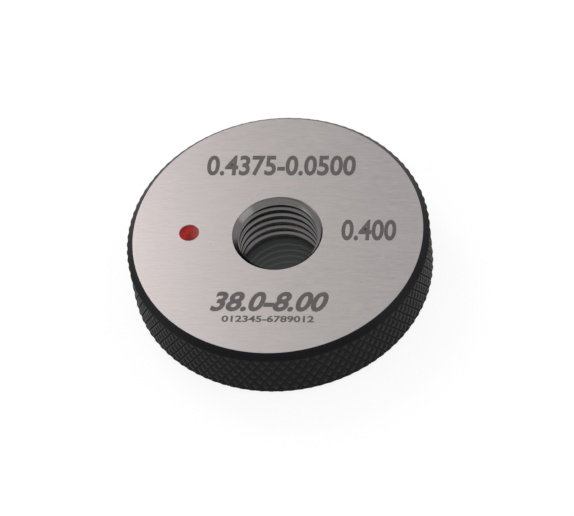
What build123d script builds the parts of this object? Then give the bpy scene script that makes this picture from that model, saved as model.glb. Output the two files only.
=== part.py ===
from build123d import *
from math import ceil, pi, radians, tan
import os

# A thread ring gauge: a knurled steel ring with a thread through its middle, and a red enamel
# mark let into its upper face. The lower face stands on z = 0, with the thread's axis on Z.
# All sizes are in millimetres and degrees.

# The turned ring
ring_diameter = 38.0
ring_thickness = 8.0
rim_bevel = 0.85

# The thread, 20 to the inch. Its hole is modelled at the thread's crests, between two 45 degree mouths.
thread_minor_diameter = 9.9
mouth_depth = 0.725

# The diamond knurl: two crossed sets of V grooves round the rim, one of each hand
knurl_pitch = 1.243
knurl_angle = 31.0
knurl_depth = 0.22

# The red mark: a dished recess in the upper face, part filled with enamel
mark_distance = 11.1
mark_diameter = 2.53
mark_depth = 0.45
enamel_below_face = 0.05
enamel_dip = 0.08

ring_radius = ring_diameter / 2
face_radius = ring_radius - rim_bevel
bore_radius = thread_minor_diameter / 2
mouth_radius = bore_radius + mouth_depth

knurl_count = round(pi * ring_diameter / knurl_pitch)
half_pitch_angle = 180 / knurl_count
row_height = pi * ring_diameter / (2 * knurl_count * tan(radians(knurl_angle)))
row_count = 2 * ceil(ring_thickness / (2 * row_height)) + 2

mark_radius = mark_diameter / 2
mark_sphere_radius = (mark_radius**2 + mark_depth**2) / (2 * mark_depth)
mark_sphere_height = ring_thickness - mark_depth + mark_sphere_radius
mark_plane = Plane(origin=(-mark_distance, 0, 0), x_dir=(1, 0, 0), z_dir=(0, -1, 0))


def knurl_point(column, row):
    """A corner of the knurl. Tips and roots take turns, by half a pitch round and half a diamond up."""
    is_tip = (column + row) % 2 == 0
    radius = ring_radius if is_tip else ring_radius - knurl_depth
    height = ring_thickness / 2 + (row - row_count / 2) * row_height
    return Vector(radius, 0, height).rotate(Axis.Z, column * half_pitch_angle)


def knurl_facets(column, row):
    """The two flats between four corners, which meet in the groove that joins the two roots."""
    corners = [
        knurl_point(column, row),
        knurl_point(column + 1, row),
        knurl_point(column + 1, row + 1),
        knurl_point(column, row + 1),
    ]
    if (column + row) % 2 == 0:
        corners = corners[1:] + corners[:1]
    root, tip, far_root, far_tip = corners
    return [
        Face(Wire.make_polygon([root, tip, far_root])),
        Face(Wire.make_polygon([root, far_root, far_tip])),
    ]


def knurl_end(row):
    """The flat end of the knurled barrel, whose edge zigzags between tips and roots."""
    return Face(Wire.make_polygon([knurl_point(column, row) for column in range(2 * knurl_count)]))


# A barrel with the knurl all over it, longer than the ring is thick, which the turned ring is cut to
facets = [knurl_end(0), knurl_end(row_count)]
for row in range(row_count):
    for column in range(2 * knurl_count):
        facets += knurl_facets(column, row)
knurled_barrel = Solid(Shell(facets))

# The ring
with BuildPart() as gauge_ring:
    # Turned section, with a bevelled rim that runs out past the knurl and a mouth at each end of the hole
    with BuildSketch(Plane.XZ):
        with BuildLine():
            Polyline(
                (mouth_radius, 0),
                (face_radius, 0),
                (face_radius + ring_thickness / 2, ring_thickness / 2),
                (face_radius, ring_thickness),
                (mouth_radius, ring_thickness),
                (bore_radius, ring_thickness - mouth_depth),
                (bore_radius, mouth_depth),
                close=True,
            )
        make_face()
    revolve(axis=Axis.Z)
    # Dished recess for the red mark
    with Locations((-mark_distance, 0, mark_sphere_height)):
        Sphere(mark_sphere_radius, mode=Mode.SUBTRACT)
    # Diamond knurl round the rim
    add(knurled_barrel, mode=Mode.INTERSECT)

gauge_ring.part.label = "gauge_ring"

# The enamel lies on the floor of the recess, and its top dips to the middle as the wet paint dried
enamel_top = ring_thickness - enamel_below_face
enamel_radius = (mark_sphere_radius**2 - (mark_sphere_height - enamel_top) ** 2) ** 0.5
with BuildPart() as red_mark:
    with BuildSketch(mark_plane):
        with BuildLine():
            floor = RadiusArc(
                (0, ring_thickness - mark_depth), (enamel_radius, enamel_top), -mark_sphere_radius
            )
            surface = TangentArc(
                (0, enamel_top - enamel_dip), (enamel_radius, enamel_top), tangent=(1, 0)
            )
            Line(surface @ 0, floor @ 0)
        make_face()
    revolve(axis=Axis((-mark_distance, 0, 0), (0, 0, 1)))

red_mark.part.label = "red_mark"

os.makedirs("parts", exist_ok=True)
export_step(gauge_ring.part, "parts/gauge_ring.step")
export_step(red_mark.part, "parts/red_mark.step")
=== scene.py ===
"""Looks of a thread ring gauge: knurled steel ring, threaded hole, red enamel mark, etched numbers.

Shapes are worked out in millimetres, where the cuts keep their precision, and then brought to metres.
"""

from math import cos, pi, radians, sin, tan

import bmesh
import bpy
from mathutils import Matrix, Vector


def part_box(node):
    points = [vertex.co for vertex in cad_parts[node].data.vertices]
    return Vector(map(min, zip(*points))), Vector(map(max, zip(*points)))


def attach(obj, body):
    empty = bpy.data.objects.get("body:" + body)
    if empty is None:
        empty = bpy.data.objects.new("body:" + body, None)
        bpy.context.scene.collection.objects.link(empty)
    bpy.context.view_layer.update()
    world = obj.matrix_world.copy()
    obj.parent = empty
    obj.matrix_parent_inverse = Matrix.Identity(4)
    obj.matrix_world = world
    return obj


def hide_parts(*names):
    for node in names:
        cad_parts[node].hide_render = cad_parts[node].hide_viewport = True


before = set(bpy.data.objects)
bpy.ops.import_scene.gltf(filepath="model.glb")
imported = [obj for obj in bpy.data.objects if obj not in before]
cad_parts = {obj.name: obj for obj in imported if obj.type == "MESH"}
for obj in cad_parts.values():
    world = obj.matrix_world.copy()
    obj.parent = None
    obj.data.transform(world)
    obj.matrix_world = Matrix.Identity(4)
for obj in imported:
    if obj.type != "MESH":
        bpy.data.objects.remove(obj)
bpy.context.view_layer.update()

MM = 0.001

# The turned ring, in millimetres as in the CAD source
ring_low, ring_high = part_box("gauge_ring")
THICKNESS = (ring_high.z - ring_low.z) / MM
RING_RADIUS = 19.0
FACE_RADIUS = 18.15
BORE_RADIUS = 4.95
MOUTH_DEPTH = 0.725
MOUTH_RADIUS = BORE_RADIUS + MOUTH_DEPTH
RIM_EDGE_ROUNDING = 0.07
MOUTH_EDGE_ROUNDING = 0.02
TURNING_STEPS = 288

# The thread, 20 turns to the inch, right-handed
THREAD_PITCH = 1.27
THREAD_ROOT_RADIUS = 5.556
THREAD_ROOT_FLAT = THREAD_PITCH / 8
THREAD_CUT_INSIDE = 4.7

# The diamond knurl
KNURL_COLUMNS = 96
KNURL_ROWS = 10
KNURL_DEPTH = 0.18
KNURL_ROUNDNESS = 2.2
KNURL_ANGLE = radians(31)
KNURL_ROW_HEIGHT = pi * 2 * RING_RADIUS / (2 * KNURL_COLUMNS * tan(KNURL_ANGLE))
KNURL_ROOT_RADIUS = RING_RADIUS - KNURL_DEPTH - 0.02
KNURL_HALF_BAND = THICKNESS / 2 - (RING_RADIUS - FACE_RADIUS)

# The red mark
MARK_DISTANCE = 11.1
MARK_RADIUS = 1.265
MARK_DEPTH = 0.45
MARK_BALL_RADIUS = (MARK_RADIUS**2 + MARK_DEPTH**2) / (2 * MARK_DEPTH)
ENAMEL_BELOW_FACE = 0.05
ENAMEL_DIP = 0.08


# Small helpers for nodes and meshes

def put(tree, kind, inputs=None, **settings):
    """Adds a node. Each input is given a value, or a socket to be joined to."""
    made = tree.nodes.new(kind)
    for name, value in settings.items():
        setattr(made, name, value)
    for key, value in (inputs or {}).items():
        if isinstance(value, bpy.types.NodeSocket):
            tree.links.new(value, made.inputs[key])
        else:
            made.inputs[key].default_value = value
    return made


def math(tree, operation, *values):
    """Adds a Math node and gives its result."""
    return put(tree, "ShaderNodeMath", dict(enumerate(values)), operation=operation).outputs[0]


def socket(tree, side, name, kind, value=None):
    """Adds a named input or output to a node group."""
    made = tree.interface.new_socket(name, in_out=side, socket_type=kind)
    if value is not None:
        made.default_value = value


def new_object(name, mesh, material=None):
    """Puts a mesh in the scene as an object at the origin."""
    made = bpy.data.objects.new(name, mesh)
    bpy.context.scene.collection.objects.link(made)
    if material:
        mesh.materials.append(material)
    return made


def rounded(corners, steps=3):
    """A closed outline whose corners are rounded. Each corner is (x, y, radius)."""
    outline = []
    for index, (x, y, radius) in enumerate(corners):
        here = Vector((x, y))
        if not radius:
            outline.append(here)
            continue
        before = (Vector(corners[index - 1][:2]) - here).normalized()
        after = (Vector(corners[(index + 1) % len(corners)][:2]) - here).normalized()
        half_angle = before.angle(after) / 2
        reach = radius / tan(half_angle)
        centre = here + (before + after).normalized() * (radius / sin(half_angle))
        start = (here + before * reach - centre).normalized()
        end = (here + after * reach - centre).normalized()
        for step in range(steps + 1):
            outline.append(centre + start.slerp(end, step / steps) * radius)
    return outline


def turned(name, outline, steps=TURNING_STEPS, centre=(0, 0)):
    """A mesh turned about a vertical axis from (radius, height) points. Radius 0 closes at a pole."""
    shape = bmesh.new()
    rings = []
    for radius, height in outline:
        if radius < 1e-9:
            rings.append([shape.verts.new((centre[0], centre[1], height))] * steps)
            continue
        ring = []
        for step in range(steps):
            angle = 2 * pi * step / steps
            place = (centre[0] + radius * cos(angle), centre[1] + radius * sin(angle), height)
            ring.append(shape.verts.new(place))
        rings.append(ring)
    for index, ring in enumerate(rings):
        above = rings[(index + 1) % len(rings)]
        for step in range(steps):
            after = (step + 1) % steps
            corners = [ring[step], ring[after], above[after], above[step]]
            corners = [c for i, c in enumerate(corners) if c not in corners[:i]]
            if len(corners) > 2:
                shape.faces.new(corners)
    bmesh.ops.recalc_face_normals(shape, faces=shape.faces)
    mesh = bpy.data.meshes.new(name)
    shape.to_mesh(mesh)
    shape.free()
    return mesh


def finish_mesh(piece, sharp_degrees=6, flat=lambda face: False, soft=lambda face: False, soft_degrees=25):
    """Turns a piece's modifiers into a plain mesh in metres, smooth but for its sharp edges and flats.

    Edges turn sharp beyond sharp_degrees, and those between two soft faces beyond soft_degrees."""
    shown = piece.evaluated_get(bpy.context.evaluated_depsgraph_get())
    mesh = bpy.data.meshes.new_from_object(shown)
    piece.modifiers.clear()
    piece.data = mesh
    mesh.transform(Matrix.Scale(MM, 4))
    mesh.set_sharp_from_angle(angle=radians(sharp_degrees))
    sides = {}
    for face in mesh.polygons:
        face.use_smooth = not flat(face)
        if soft(face):
            for key in face.edge_keys:
                sides.setdefault(key, []).append(face.normal)
    for edge in mesh.edges:
        normals = sides.get(edge.key, [])
        if len(normals) == 2 and normals[0].angle(normals[1]) < radians(soft_degrees):
            edge.use_edge_sharp = False
    return piece


def add_tree(piece, tree, values):
    """Adds a Geometry Nodes tree to a piece, with its inputs set by their identifiers."""
    modifier = piece.modifiers.new(tree.name, "NODES")
    modifier.node_group = tree
    for item in tree.interface.items_tree:
        if item.in_out == "INPUT" and item.name in values:
            modifier[item.identifier] = values[item.name]


# Shader groups that several materials share

def grain_group():
    """Fine and coarse scratches, which run the way that the material stretches Place."""
    tree = bpy.data.node_groups.new("grain", "ShaderNodeTree")
    socket(tree, "INPUT", "Place", "NodeSocketVector")
    socket(tree, "INPUT", "Fine", "NodeSocketFloat", 1.0)
    socket(tree, "INPUT", "Coarse", "NodeSocketFloat", 0.3)
    socket(tree, "OUTPUT", "Lines", "NodeSocketFloat")
    given = put(tree, "NodeGroupInput")
    fine = put(tree, "ShaderNodeTexNoise", {"Vector": given.outputs["Place"], "Scale": given.outputs["Fine"],
                                            "Detail": 2.0, "Roughness": 0.6})
    coarse = put(tree, "ShaderNodeTexNoise", {"Vector": given.outputs["Place"],
                                              "Scale": given.outputs["Coarse"], "Detail": 3.0})
    both = math(tree, "ADD", math(tree, "MULTIPLY", fine.outputs[0], 0.6),
                math(tree, "MULTIPLY", coarse.outputs[0], 0.4))
    contrast = put(tree, "ShaderNodeMapRange", {"Value": both, "From Min": 0.3, "From Max": 0.7})
    put(tree, "NodeGroupOutput", {"Lines": contrast.outputs[0]})
    return tree


def round_place_group():
    """Place on a turned surface: way round it, distance from the axis and height."""
    tree = bpy.data.node_groups.new("round place", "ShaderNodeTree")
    socket(tree, "INPUT", "Place", "NodeSocketVector")
    socket(tree, "OUTPUT", "Round", "NodeSocketVector")
    socket(tree, "OUTPUT", "Radius", "NodeSocketFloat")
    socket(tree, "OUTPUT", "Height", "NodeSocketFloat")
    given = put(tree, "NodeGroupInput")
    parts = put(tree, "ShaderNodeSeparateXYZ", {0: given.outputs[0]})
    across = put(tree, "ShaderNodeCombineXYZ", {"X": parts.outputs[0], "Y": parts.outputs[1]})
    radius = put(tree, "ShaderNodeVectorMath", {0: across.outputs[0]}, operation="LENGTH").outputs["Value"]
    side = put(tree, "ShaderNodeVectorMath", {0: across.outputs[0]}, operation="NORMALIZE").outputs[0]
    turn = put(tree, "ShaderNodeSeparateXYZ", {0: side})
    along = math(tree, "ADD", radius, math(tree, "MULTIPLY", parts.outputs[2], 1.7))
    round_place = put(tree, "ShaderNodeCombineXYZ", {"X": turn.outputs[0], "Y": turn.outputs[1], "Z": along})
    put(tree, "NodeGroupOutput", {"Round": round_place.outputs[0], "Radius": radius,
                                  "Height": parts.outputs[2]})
    return tree


def wear_group():
    """Patchy wear that grows from 0 at Start to 1 at End, along any value such as a radius."""
    tree = bpy.data.node_groups.new("wear", "ShaderNodeTree")
    socket(tree, "INPUT", "Place", "NodeSocketVector")
    socket(tree, "INPUT", "Along", "NodeSocketFloat")
    socket(tree, "INPUT", "Start", "NodeSocketFloat")
    socket(tree, "INPUT", "End", "NodeSocketFloat")
    socket(tree, "INPUT", "Patches", "NodeSocketFloat", 900.0)
    socket(tree, "OUTPUT", "Worn", "NodeSocketFloat")
    given = put(tree, "NodeGroupInput")
    out = given.outputs
    edge = put(tree, "ShaderNodeMapRange", {"Value": out["Along"], "From Min": out["Start"],
                                            "From Max": out["End"]}).outputs[0]
    patches = put(tree, "ShaderNodeTexNoise", {"Vector": out["Place"], "Scale": out["Patches"],
                                               "Detail": 3.0})
    patchy = put(tree, "ShaderNodeMapRange", {"Value": patches.outputs[0], "From Min": 0.35,
                                              "From Max": 0.65}).outputs[0]
    put(tree, "NodeGroupOutput", {"Worn": math(tree, "MULTIPLY", edge, patchy)})
    return tree


GRAIN = grain_group()
ROUND_PLACE = round_place_group()
WEAR = wear_group()


def new_material(name, **shader_values):
    """A material with its Principled shader, whose constant values are set on the shader itself."""
    material = bpy.data.materials.new(name)
    material.use_nodes = True
    tree = material.node_tree
    shader = tree.nodes["Principled BSDF"]
    for key, value in shader_values.items():
        shader.inputs[key.replace("_", " ")].default_value = value
    return material, tree, shader


def group(tree, kind, **inputs):
    """Places one of the shared groups in a material."""
    return put(tree, "ShaderNodeGroup", inputs, node_tree=kind)


def object_place(tree, scale=None):
    """Object coordinates, stretched by scale."""
    place = put(tree, "ShaderNodeTexCoord").outputs["Object"]
    if scale is None:
        return place
    return put(tree, "ShaderNodeMapping", {"Vector": place, "Scale": scale}).outputs[0]


def blended(tree, mask, low, high):
    """A colour that goes from low to high with a mask."""
    mix = put(tree, "ShaderNodeMix", {0: mask}, data_type="RGBA")
    for key, colour in (("A_Color", low), ("B_Color", high)):
        entry = next(s for s in mix.inputs if s.identifier == key)
        if isinstance(colour, bpy.types.NodeSocket):
            tree.links.new(colour, entry)
        else:
            entry.default_value = (*colour, 1.0)
    return next(s for s in mix.outputs if s.identifier == "Result_Color")


def spread(tree, mask, low, high):
    """A value that goes from low to high with a mask from 0 to 1."""
    return put(tree, "ShaderNodeMapRange", {"Value": mask, "To Min": low, "To Max": high}).outputs[0]


def ground_steel():
    """Surface-ground steel: fine straight scratches along X, soft clouds and a few specks."""
    material, tree, shader = new_material("ground steel", Metallic=1.0)
    lines = group(tree, GRAIN, Place=object_place(tree, (800.0, 9000.0, 9000.0)), Fine=1.0, Coarse=0.45)
    clouds = put(tree, "ShaderNodeTexNoise", {"Vector": object_place(tree), "Scale": 170.0, "Detail": 4.0})
    specks = put(tree, "ShaderNodeTexNoise", {"Vector": object_place(tree), "Scale": 2600.0, "Detail": 0.0})
    speck = put(tree, "ShaderNodeMapRange", {"Value": specks.outputs[0], "From Min": 0.86, "From Max": 0.90})
    lined = blended(tree, lines.outputs[0], (0.268, 0.2535, 0.2500), (0.334, 0.3155, 0.3110))
    cloud = math(tree, "MULTIPLY", clouds.outputs[0], 0.4)
    clouded = blended(tree, cloud, lined, (0.300, 0.2835, 0.2795))
    speckled = blended(tree, math(tree, "MULTIPLY", speck.outputs[0], 0.5), clouded, (0.16, 0.13, 0.11))
    rough = spread(tree, lines.outputs[0], 0.30, 0.42)
    bump = put(tree, "ShaderNodeBump", {"Height": lines.outputs[0], "Strength": 0.25, "Distance": 0.000004})
    tree.links.new(speckled, shader.inputs["Base Color"])
    tree.links.new(rough, shader.inputs["Roughness"])
    tree.links.new(bump.outputs[0], shader.inputs["Normal"])
    return material


def blacked_steel(name, specular):
    """Chemically blacked steel, blue at the bevel's edge, duller on the knurl and worn on its tips."""
    material, tree, shader = new_material(name, Specular_IOR_Level=specular)
    place = object_place(tree)
    turned_place = group(tree, ROUND_PLACE, Place=place)
    tips = group(tree, WEAR, Place=place, Along=turned_place.outputs["Radius"],
                 Start=(RING_RADIUS - 0.10) * MM, End=(RING_RADIUS - 0.01) * MM, Patches=700.0)
    lines = group(tree, GRAIN, Place=turned_place.outputs["Round"], Fine=900.0, Coarse=60.0)
    blue = put(tree, "ShaderNodeMapRange", {"Value": turned_place.outputs["Radius"],
                                            "From Min": FACE_RADIUS * MM,
                                            "From Max": (FACE_RADIUS + 0.45) * MM})
    bevel = blended(tree, blue.outputs[0], (0.006, 0.007, 0.014), (0.0035, 0.0036, 0.0042))
    from_middle = math(tree, "ABSOLUTE", math(tree, "SUBTRACT", turned_place.outputs["Height"],
                                              THICKNESS / 2 * MM))
    knurled = put(tree, "ShaderNodeMapRange", {"Value": from_middle,
                                               "From Min": (KNURL_HALF_BAND - 0.05) * MM,
                                               "From Max": (KNURL_HALF_BAND + 0.15) * MM,
                                               "To Min": 1.0, "To Max": 0.0}).outputs[0]
    dulled = blended(tree, knurled, bevel, (0.018, 0.018, 0.0185))
    worn = blended(tree, tips.outputs[0], dulled, (0.025, 0.0245, 0.0245))
    rough = spread(tree, lines.outputs[0], 0.32, 0.44)
    bump = put(tree, "ShaderNodeBump", {"Height": lines.outputs[0], "Strength": 0.15, "Distance": 0.000005})
    tree.links.new(worn, shader.inputs["Base Color"])
    tree.links.new(rough, shader.inputs["Roughness"])
    tree.links.new(bump.outputs[0], shader.inputs["Normal"])
    return material


def cut_steel():
    """Bare steel left by turning tools, with streaks that run round the hole."""
    material, tree, shader = new_material("cut steel", Metallic=1.0)
    place = object_place(tree)
    turned_place = group(tree, ROUND_PLACE, Place=place)
    stretched = put(tree, "ShaderNodeMapping", {"Vector": turned_place.outputs["Round"],
                                                "Scale": (1.6, 1.6, 16000.0)}).outputs[0]
    lines = group(tree, GRAIN, Place=stretched, Fine=1.0, Coarse=0.25)
    colour = blended(tree, lines.outputs[0], (0.085, 0.082, 0.081), (0.185, 0.180, 0.177))
    rough = spread(tree, lines.outputs[0], 0.14, 0.22)
    bump = put(tree, "ShaderNodeBump", {"Height": lines.outputs[0], "Strength": 0.3, "Distance": 0.000002})
    tree.links.new(colour, shader.inputs["Base Color"])
    tree.links.new(rough, shader.inputs["Roughness"])
    tree.links.new(bump.outputs[0], shader.inputs["Normal"])
    return material


def red_enamel():
    """Glossy brush-filled enamel, darker in patches."""
    material, tree, shader = new_material("red enamel", Specular_IOR_Level=0.12, Coat_Weight=0.04,
                                          Coat_Roughness=0.1)
    clouds = put(tree, "ShaderNodeTexNoise", {"Vector": object_place(tree), "Scale": 900.0, "Detail": 3.0})
    patch = put(tree, "ShaderNodeMapRange", {"Value": clouds.outputs[0], "From Min": 0.38, "From Max": 0.62})
    colour = blended(tree, patch.outputs[0], (0.145, 0.003, 0.0018), (0.36, 0.0095, 0.0048))
    bump = put(tree, "ShaderNodeBump", {"Height": clouds.outputs[0], "Strength": 0.4, "Distance": 0.00006})
    tree.links.new(colour, shader.inputs["Base Color"])
    tree.links.new(spread(tree, clouds.outputs[0], 0.2, 0.45), shader.inputs["Roughness"])
    tree.links.new(bump.outputs[0], shader.inputs["Normal"])
    return material


def etched_steel():
    """Laser-etched marking: matt dark grey, with the fine rows that the laser leaves."""
    material, tree, shader = new_material("etched steel", Metallic=0.6)
    lines = group(tree, GRAIN, Place=object_place(tree, (1500.0, 12000.0, 9000.0)), Fine=1.0, Coarse=0.3)
    colour = blended(tree, lines.outputs[0], (0.066, 0.061, 0.059), (0.120, 0.111, 0.107))
    tree.links.new(colour, shader.inputs["Base Color"])
    tree.links.new(spread(tree, lines.outputs[0], 0.5, 0.65), shader.inputs["Roughness"])
    return material


GROUND_STEEL = ground_steel()
BLACKED_BEVEL = blacked_steel("blacked bevel", 0.105)
BLACKED_KNURL = blacked_steel("blacked knurl", 0.03)
CUT_STEEL = cut_steel()
RED_ENAMEL = red_enamel()
ETCHED_STEEL = etched_steel()


# The ring

def knurl_tree():
    """Cuts a turned blank to a barrel that carries a diamond knurl all over.

    Column and row count half diamonds round and up. Two crossed sets of V grooves run where their sum
    and where their difference is odd, and a tip stands where both are even."""
    tree = bpy.data.node_groups.new("diamond knurl", "GeometryNodeTree")
    socket(tree, "INPUT", "Blank", "NodeSocketGeometry")
    socket(tree, "INPUT", "Diamonds Round", "NodeSocketInt", 96)
    socket(tree, "INPUT", "Rows", "NodeSocketInt", 10)
    socket(tree, "INPUT", "Steps", "NodeSocketInt", 4)
    socket(tree, "INPUT", "Radius", "NodeSocketFloat", 19.0)
    socket(tree, "INPUT", "Depth", "NodeSocketFloat", 0.18)
    socket(tree, "INPUT", "Row Height", "NodeSocketFloat", 1.035)
    socket(tree, "INPUT", "Middle Height", "NodeSocketFloat", 4.0)
    socket(tree, "INPUT", "Roundness", "NodeSocketFloat", 2.2)
    socket(tree, "INPUT", "Bevel Starts", "NodeSocketFloat", 18.15)
    socket(tree, "INPUT", "Knurl Material", "NodeSocketMaterial")
    socket(tree, "INPUT", "Bevel Material", "NodeSocketMaterial")
    socket(tree, "OUTPUT", "Ring", "NodeSocketGeometry")
    given = put(tree, "NodeGroupInput").outputs
    round_steps = math(tree, "MULTIPLY", math(tree, "MULTIPLY", given["Diamonds Round"], 2.0), given["Steps"])
    up_steps = math(tree, "MULTIPLY", given["Rows"], given["Steps"])
    height = math(tree, "MULTIPLY", given["Rows"], given["Row Height"])
    barrel = put(tree, "GeometryNodeMeshCylinder", {"Vertices": round_steps, "Side Segments": up_steps,
                                                    "Radius": given["Radius"], "Depth": height})
    place = put(tree, "ShaderNodeSeparateXYZ", {0: put(tree, "GeometryNodeInputPosition").outputs[0]}).outputs
    angle = math(tree, "ARCTAN2", place[1], place[0])
    column = math(tree, "MULTIPLY", angle, math(tree, "DIVIDE", given["Diamonds Round"], pi))
    row = math(tree, "ADD", math(tree, "DIVIDE", place[2], given["Row Height"]),
               math(tree, "DIVIDE", given["Rows"], 2.0))
    one_way = math(tree, "PINGPONG", math(tree, "ADD", math(tree, "ADD", column, row), 1.0), 1.0)
    other_way = math(tree, "PINGPONG", math(tree, "ADD", math(tree, "SUBTRACT", column, row), 1.0), 1.0)
    upright = put(tree, "ShaderNodeSeparateXYZ", {0: put(tree, "GeometryNodeInputNormal").outputs[0]}).outputs
    is_side = math(tree, "LESS_THAN", math(tree, "ABSOLUTE", upright[2]), 0.5)
    groove_one_way = math(tree, "MULTIPLY", is_side, math(tree, "LESS_THAN", one_way, other_way))
    split = put(tree, "GeometryNodeTriangulate", {"Mesh": barrel.outputs["Mesh"],
                                                  "Selection": groove_one_way},
                quad_method="FIXED_ALTERNATE")
    split = put(tree, "GeometryNodeTriangulate", {"Mesh": split.outputs[0], "Selection": is_side},
                quad_method="FIXED")
    from_tip = math(tree, "SUBTRACT", 1.0, math(tree, "MINIMUM", one_way, other_way))
    sunk = math(tree, "MULTIPLY", math(tree, "POWER", from_tip, given["Roundness"]), given["Depth"])
    share = math(tree, "DIVIDE", math(tree, "SUBTRACT", given["Radius"], sunk), given["Radius"])
    moved = put(tree, "ShaderNodeCombineXYZ", {"X": math(tree, "MULTIPLY", place[0], share),
                                               "Y": math(tree, "MULTIPLY", place[1], share),
                                               "Z": math(tree, "ADD", place[2], given["Middle Height"])})
    knurled = put(tree, "GeometryNodeSetPosition", {"Geometry": split.outputs[0],
                                                    "Position": moved.outputs[0]})
    knurled = put(tree, "GeometryNodeSetMaterial", {"Geometry": knurled.outputs[0],
                                                    "Material": given["Knurl Material"]})
    cut = put(tree, "GeometryNodeMeshBoolean", operation="INTERSECT", solver="EXACT")
    tree.links.new(given["Blank"], cut.inputs["Mesh 2"])
    tree.links.new(knurled.outputs[0], cut.inputs["Mesh 2"])
    out_from_axis = math(tree, "SQRT", math(tree, "ADD", math(tree, "MULTIPLY", place[0], place[0]),
                                            math(tree, "MULTIPLY", place[1], place[1])))
    beyond = math(tree, "GREATER_THAN", out_from_axis, given["Bevel Starts"])
    sloped = math(tree, "COMPARE", math(tree, "ABSOLUTE", upright[2]), 0.7, 0.2)
    real = put(tree, "GeometryNodeRealizeInstances", {0: cut.outputs[0]})
    painted = put(tree, "GeometryNodeSetMaterial", {"Geometry": real.outputs[0],
                                                    "Selection": math(tree, "MULTIPLY", beyond, sloped),
                                                    "Material": given["Bevel Material"]})
    put(tree, "NodeGroupOutput", {0: painted.outputs[0]})
    return tree


def thread_tree():
    """Cuts a right-hand thread: one groove with 60 degree flanks that climbs round the hole's wall."""
    tree = bpy.data.node_groups.new("thread", "GeometryNodeTree")
    socket(tree, "INPUT", "Ring", "NodeSocketGeometry")
    socket(tree, "INPUT", "Pitch", "NodeSocketFloat", 1.27)
    socket(tree, "INPUT", "Turns", "NodeSocketInt", 10)
    socket(tree, "INPUT", "First Turn", "NodeSocketFloat", -2.54)
    socket(tree, "INPUT", "Steps Per Turn", "NodeSocketInt", 144)
    socket(tree, "INPUT", "Root Radius", "NodeSocketFloat", 5.556)
    socket(tree, "INPUT", "Root Flat", "NodeSocketFloat", 0.16)
    socket(tree, "INPUT", "Cut Starts", "NodeSocketFloat", 4.7)
    socket(tree, "INPUT", "Mouth Radius", "NodeSocketFloat", 5.7)
    socket(tree, "INPUT", "Material", "NodeSocketMaterial")
    socket(tree, "OUTPUT", "Ring", "NodeSocketGeometry")
    given = put(tree, "NodeGroupInput").outputs
    depth = math(tree, "SUBTRACT", given["Root Radius"], given["Cut Starts"])
    middle = math(tree, "MULTIPLY", math(tree, "ADD", given["Root Radius"], given["Cut Starts"]), 0.5)
    opening = math(tree, "ADD", given["Root Flat"], math(tree, "MULTIPLY", depth, 2 * tan(radians(30))))
    climb = math(tree, "MULTIPLY", given["Pitch"], given["Turns"])
    path = put(tree, "GeometryNodeCurveSpiral", {"Resolution": given["Steps Per Turn"],
                                                 "Rotations": given["Turns"], "Start Radius": middle,
                                                 "End Radius": middle, "Height": climb, "Reverse": True})
    path = put(tree, "GeometryNodeSetCurveNormal", {"Curve": path.outputs[0]}, mode="Z_UP")
    form = put(tree, "GeometryNodeCurvePrimitiveQuadrilateral", {"Height": depth, "Bottom Width": opening,
                                                                 "Top Width": given["Root Flat"],
                                                                 "Offset": 0.0}, mode="TRAPEZOID")
    form = put(tree, "GeometryNodeTransform", {"Geometry": form.outputs[0], "Rotation": (0.0, 0.0, -pi / 2)})
    groove = put(tree, "GeometryNodeCurveToMesh", {"Curve": path.outputs[0], "Profile Curve": form.outputs[0],
                                                   "Fill Caps": True})
    start = put(tree, "ShaderNodeCombineXYZ", {"Z": given["First Turn"]})
    groove = put(tree, "GeometryNodeTransform", {"Geometry": groove.outputs[0],
                                                 "Translation": start.outputs[0]})
    groove = put(tree, "GeometryNodeSetMaterial", {"Geometry": groove.outputs[0],
                                                   "Material": given["Material"]})
    cut = put(tree, "GeometryNodeMeshBoolean", {"Mesh 1": given["Ring"]}, operation="DIFFERENCE",
              solver="EXACT")
    tree.links.new(groove.outputs[0], cut.inputs["Mesh 2"])
    place = put(tree, "ShaderNodeSeparateXYZ", {0: put(tree, "GeometryNodeInputPosition").outputs[0]}).outputs
    upright = put(tree, "ShaderNodeSeparateXYZ", {0: put(tree, "GeometryNodeInputNormal").outputs[0]}).outputs
    out_from_axis = math(tree, "SQRT", math(tree, "ADD", math(tree, "MULTIPLY", place[0], place[0]),
                                            math(tree, "MULTIPLY", place[1], place[1])))
    within = math(tree, "LESS_THAN", out_from_axis, given["Mouth Radius"])
    sloped = math(tree, "LESS_THAN", math(tree, "ABSOLUTE", upright[2]), 0.95)
    real = put(tree, "GeometryNodeRealizeInstances", {0: cut.outputs[0]})
    painted = put(tree, "GeometryNodeSetMaterial", {"Geometry": real.outputs[0],
                                                    "Selection": math(tree, "MULTIPLY", within, sloped),
                                                    "Material": given["Material"]})
    put(tree, "NodeGroupOutput", {0: painted.outputs[0]})
    return tree


def dish(top_height, steps):
    """Outline of the recess as a ball's lower part, from its deepest point up to top_height."""
    lowest = THICKNESS - MARK_DEPTH
    outline = []
    for step in range(steps + 1):
        rise = (top_height - lowest) * (step / steps) ** 2
        outline.append(((rise * (2 * MARK_BALL_RADIUS - rise)) ** 0.5, lowest + rise))
    return outline


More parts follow.
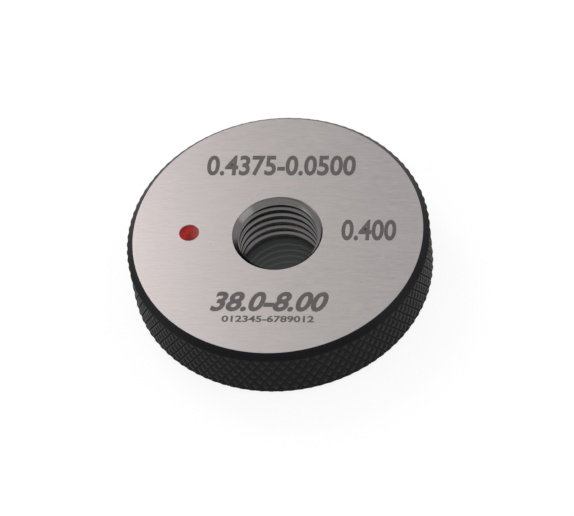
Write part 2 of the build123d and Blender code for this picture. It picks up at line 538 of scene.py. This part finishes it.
blank_outline = rounded([
    (MOUTH_RADIUS, 0, MOUTH_EDGE_ROUNDING),
    (FACE_RADIUS, 0, RIM_EDGE_ROUNDING),
    (FACE_RADIUS + THICKNESS / 2, THICKNESS / 2, 0),
    (FACE_RADIUS, THICKNESS, RIM_EDGE_ROUNDING),
    (MOUTH_RADIUS, THICKNESS, MOUTH_EDGE_ROUNDING),
    (BORE_RADIUS, THICKNESS - MOUTH_DEPTH, 0),
    (BORE_RADIUS, MOUTH_DEPTH, 0),
])
ring = new_object("ring", turned("ring", blank_outline), GROUND_STEEL)
mark_cutter = new_object(
    "mark_cutter",
    turned("mark_cutter", dish(THICKNESS + 0.3, 24) + [(0, THICKNESS + 0.3)], 96, (-MARK_DISTANCE, 0)),
    CUT_STEEL,
)
add_tree(ring, knurl_tree(), {
    "Diamonds Round": KNURL_COLUMNS,
    "Rows": KNURL_ROWS,
    "Radius": RING_RADIUS,
    "Depth": KNURL_DEPTH,
    "Row Height": KNURL_ROW_HEIGHT,
    "Middle Height": THICKNESS / 2,
    "Roundness": KNURL_ROUNDNESS,
    "Bevel Starts": FACE_RADIUS + 0.05,
    "Knurl Material": BLACKED_KNURL,
    "Bevel Material": BLACKED_BEVEL,
})
add_tree(ring, thread_tree(), {
    "Pitch": THREAD_PITCH,
    "First Turn": -2 * THREAD_PITCH,
    "Root Radius": THREAD_ROOT_RADIUS,
    "Root Flat": THREAD_ROOT_FLAT,
    "Cut Starts": THREAD_CUT_INSIDE,
    "Mouth Radius": MOUTH_RADIUS - 0.02,
    "Material": CUT_STEEL,
})
recess = ring.modifiers.new("recess", "BOOLEAN")
recess.object = mark_cutter
recess.solver = "MANIFOLD"
recess.material_mode = "TRANSFER"
finish_mesh(
    ring,
    flat=lambda face: abs(face.normal.z) > 0.9999,
    soft=lambda face: face.center.xy.length > KNURL_ROOT_RADIUS * MM and abs(face.normal.z) < 0.6,
)
bpy.data.objects.remove(mark_cutter)
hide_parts("gauge_ring")
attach(ring, "root")


# The enamel

def enamel_outline():
    """Section of the enamel: the recess's floor, then a surface that dips to the middle."""
    floor = dish(THICKNESS - ENAMEL_BELOW_FACE, 12)
    edge = floor[-1][0]
    surface = []
    for step in range(1, 17):
        share = 1 - step / 16
        surface.append((edge * share, THICKNESS - ENAMEL_BELOW_FACE - ENAMEL_DIP * (1 - share**2)))
    return floor + surface


enamel = new_object("enamel", turned("enamel", enamel_outline(), 96, (-MARK_DISTANCE, 0)), RED_ENAMEL)
finish_mesh(enamel, sharp_degrees=40)
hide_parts("red_mark")
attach(enamel, "root")


# Etched numbers

ETCH_THICKNESS = 0.006


def etched(name, words, centre, size, weight=0.0, slant=0.0):
    """A line of plain numbers on the upper face, fitted to its place."""
    line = bpy.data.curves.new(name, "FONT")
    line.body = words
    line.offset = weight
    line.shear = slant
    line.extrude = 0.1
    line.resolution_u = 4
    maker = bpy.data.objects.new(name, line)
    bpy.context.scene.collection.objects.link(maker)
    shown = maker.evaluated_get(bpy.context.evaluated_depsgraph_get())
    mesh = bpy.data.meshes.new_from_object(shown)
    bpy.data.objects.remove(maker)
    corners = [vertex.co for vertex in mesh.vertices]
    low = Vector([min(c[axis] for c in corners) for axis in range(3)])
    high = Vector([max(c[axis] for c in corners) for axis in range(3)])
    wide, tall, thick = high - low
    middle = (low + high) / 2
    fit = Matrix.Diagonal((size[0] / wide, size[1] / tall, ETCH_THICKNESS / thick, 1.0))
    to_place = Matrix.Translation((centre[0], centre[1], THICKNESS + ETCH_THICKNESS / 2))
    mesh.transform(to_place @ fit @ Matrix.Translation(-middle))
    shape = bmesh.new()
    shape.from_mesh(mesh)
    bmesh.ops.remove_doubles(shape, verts=shape.verts, dist=1e-5)
    bmesh.ops.recalc_face_normals(shape, faces=shape.faces)
    shape.to_mesh(mesh)
    shape.free()
    mesh.materials.clear()
    piece = new_object(name, mesh, ETCHED_STEEL)
    finish_mesh(piece, flat=lambda face: True)
    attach(piece, "root")


etched("size_numbers", "0.4375-0.0500", (-0.3, 10.6), (18.9, 3.25), weight=0.028)
etched("side_numbers", "0.400", (11.4, 0.5), (6.85, 3.25), weight=0.028)
etched("band_numbers", "38.0-8.00", (-0.2, -10.5), (14.6, 3.0), weight=0.035, slant=0.3)
etched("small_numbers", "012345-6789012", (-0.2, -13.1), (11.4, 1.0), weight=0.03)


# Stage, light and camera

def stage_material(name, colour, emission=None, **shader_values):
    """A stage surface that is see-through from behind, so that the underside can be looked at."""
    material, tree, shader = new_material(name, **shader_values)
    shader.inputs["Base Color"].default_value = (*colour, 1.0)
    seen = shader.outputs[0]
    if emission is not None:
        rays = put(tree, "ShaderNodeLightPath").outputs
        direct = math(tree, "MAXIMUM", rays["Is Camera Ray"],
                      math(tree, "MAXIMUM", rays["Is Glossy Ray"], rays["Is Transmission Ray"]))
        glow = put(tree, "ShaderNodeEmission", {"Color": (1, 1, 1, 1), "Strength": emission})
        paper = put(tree, "ShaderNodeBsdfDiffuse", {"Color": (0.16, 0.16, 0.16, 1)})
        white = put(tree, "ShaderNodeAddShader", {0: glow.outputs[0], 1: paper.outputs[0]})
        seen = put(tree, "ShaderNodeMixShader", {0: direct, 1: seen, 2: white.outputs[0]}).outputs[0]
    behind = put(tree, "ShaderNodeNewGeometry").outputs["Backfacing"]
    clear = put(tree, "ShaderNodeBsdfTransparent")
    both = put(tree, "ShaderNodeMixShader", {0: behind, 1: seen, 2: clear.outputs[0]})
    tree.links.new(both.outputs[0], tree.nodes["Material Output"].inputs["Surface"])
    return material


def flat_disc(name, radius, height, material):
    """A flat disc of the stage."""
    shape = bmesh.new()
    bmesh.ops.create_circle(shape, cap_ends=True, segments=96, radius=radius)
    bmesh.ops.translate(shape, verts=shape.verts, vec=(0, 0, height))
    mesh = bpy.data.meshes.new(name)
    shape.to_mesh(mesh)
    shape.free()
    new_object(name, mesh, material)


flat_disc("floor", 1.5, -0.00008, stage_material("pale floor", (0.8, 0.8, 0.8), emission=0.88, Roughness=0.9))
# Painted shade: a darker glossy disc, put only under the hole, so that the floor seen down the bore is darker
# than the pale floor round the ring; it also stands for the dark table under the ring
flat_disc("painted_shade_disc_in_hole", (MOUTH_RADIUS + 0.1) * MM, -0.00004,
          stage_material("painted shade table", (0.21, 0.23, 0.222), Roughness=0.04, IOR=2.1))


def soft_light(name, place, aim, size, power, colour=(1, 1, 1)):
    """A square soft light at a place, turned towards a point, in millimetres."""
    light = bpy.data.lights.new(name, "AREA")
    light.shape = "SQUARE"
    light.size = size * MM
    light.energy = power
    light.color = colour
    lamp = bpy.data.objects.new(name, light)
    bpy.context.scene.collection.objects.link(lamp)
    lamp.location = Vector(place) * MM
    lamp.rotation_euler = (Vector(place) - Vector(aim)).to_track_quat("Z", "Y").to_euler()


soft_light("back_left_light", (-111, 123, 178), (0, 0, 8), 91, 0.176, (1.0, 0.925, 0.92))
soft_light("left_light", (-240, -60, 90), (0, 0, 4), 140, 0.05)
soft_light("right_light", (260, -40, 110), (0, 0, 4), 160, 0.08)

world = bpy.data.worlds.new("studio")
bpy.context.scene.world = world
world.use_nodes = True
sky = world.node_tree
rays = put(sky, "ShaderNodeLightPath").outputs
seen_directly = math(sky, "MAXIMUM", rays["Is Camera Ray"],
                     math(sky, "MAXIMUM", rays["Is Glossy Ray"], rays["Is Transmission Ray"]))
strength = put(sky, "ShaderNodeMapRange", {"Value": seen_directly, "To Min": 0.6, "To Max": 1.0}).outputs[0]
sky.links.new(strength, sky.nodes["Background"].inputs["Strength"])
sky.nodes["Background"].inputs["Color"].default_value = (1, 1, 1, 1)

# The camera looks from in front at 53 degrees down, turned a little round the ring and rolled
CAMERA_TURN = radians(11.5)
CAMERA_DOWN = radians(53.18)
CAMERA_ROLL = radians(-9.03)
CAMERA_DISTANCE = 441.95
AIM_RIGHT = 1.197
AIM_UP = -3.106
LENS = 222.79

camera_data = bpy.data.cameras.new("camera")
camera_data.lens = LENS
camera_data.sensor_width = 36.0
camera_data.clip_start = 0.02
camera_data.clip_end = 20
camera = bpy.data.objects.new("camera", camera_data)
bpy.context.scene.collection.objects.link(camera)
turn = Matrix.Rotation(CAMERA_TURN, 4, "Z") @ Matrix.Rotation(pi / 2 - CAMERA_DOWN, 4, "X")
turn = turn @ Matrix.Rotation(CAMERA_ROLL, 4, "Z")
offset = turn @ Vector((AIM_RIGHT, AIM_UP, CAMERA_DISTANCE)) + Vector((0, 0, THICKNESS))
camera.matrix_world = Matrix.Translation(offset * MM) @ turn
bpy.context.scene.camera = camera

bpy.context.scene.view_settings.view_transform = "Standard"
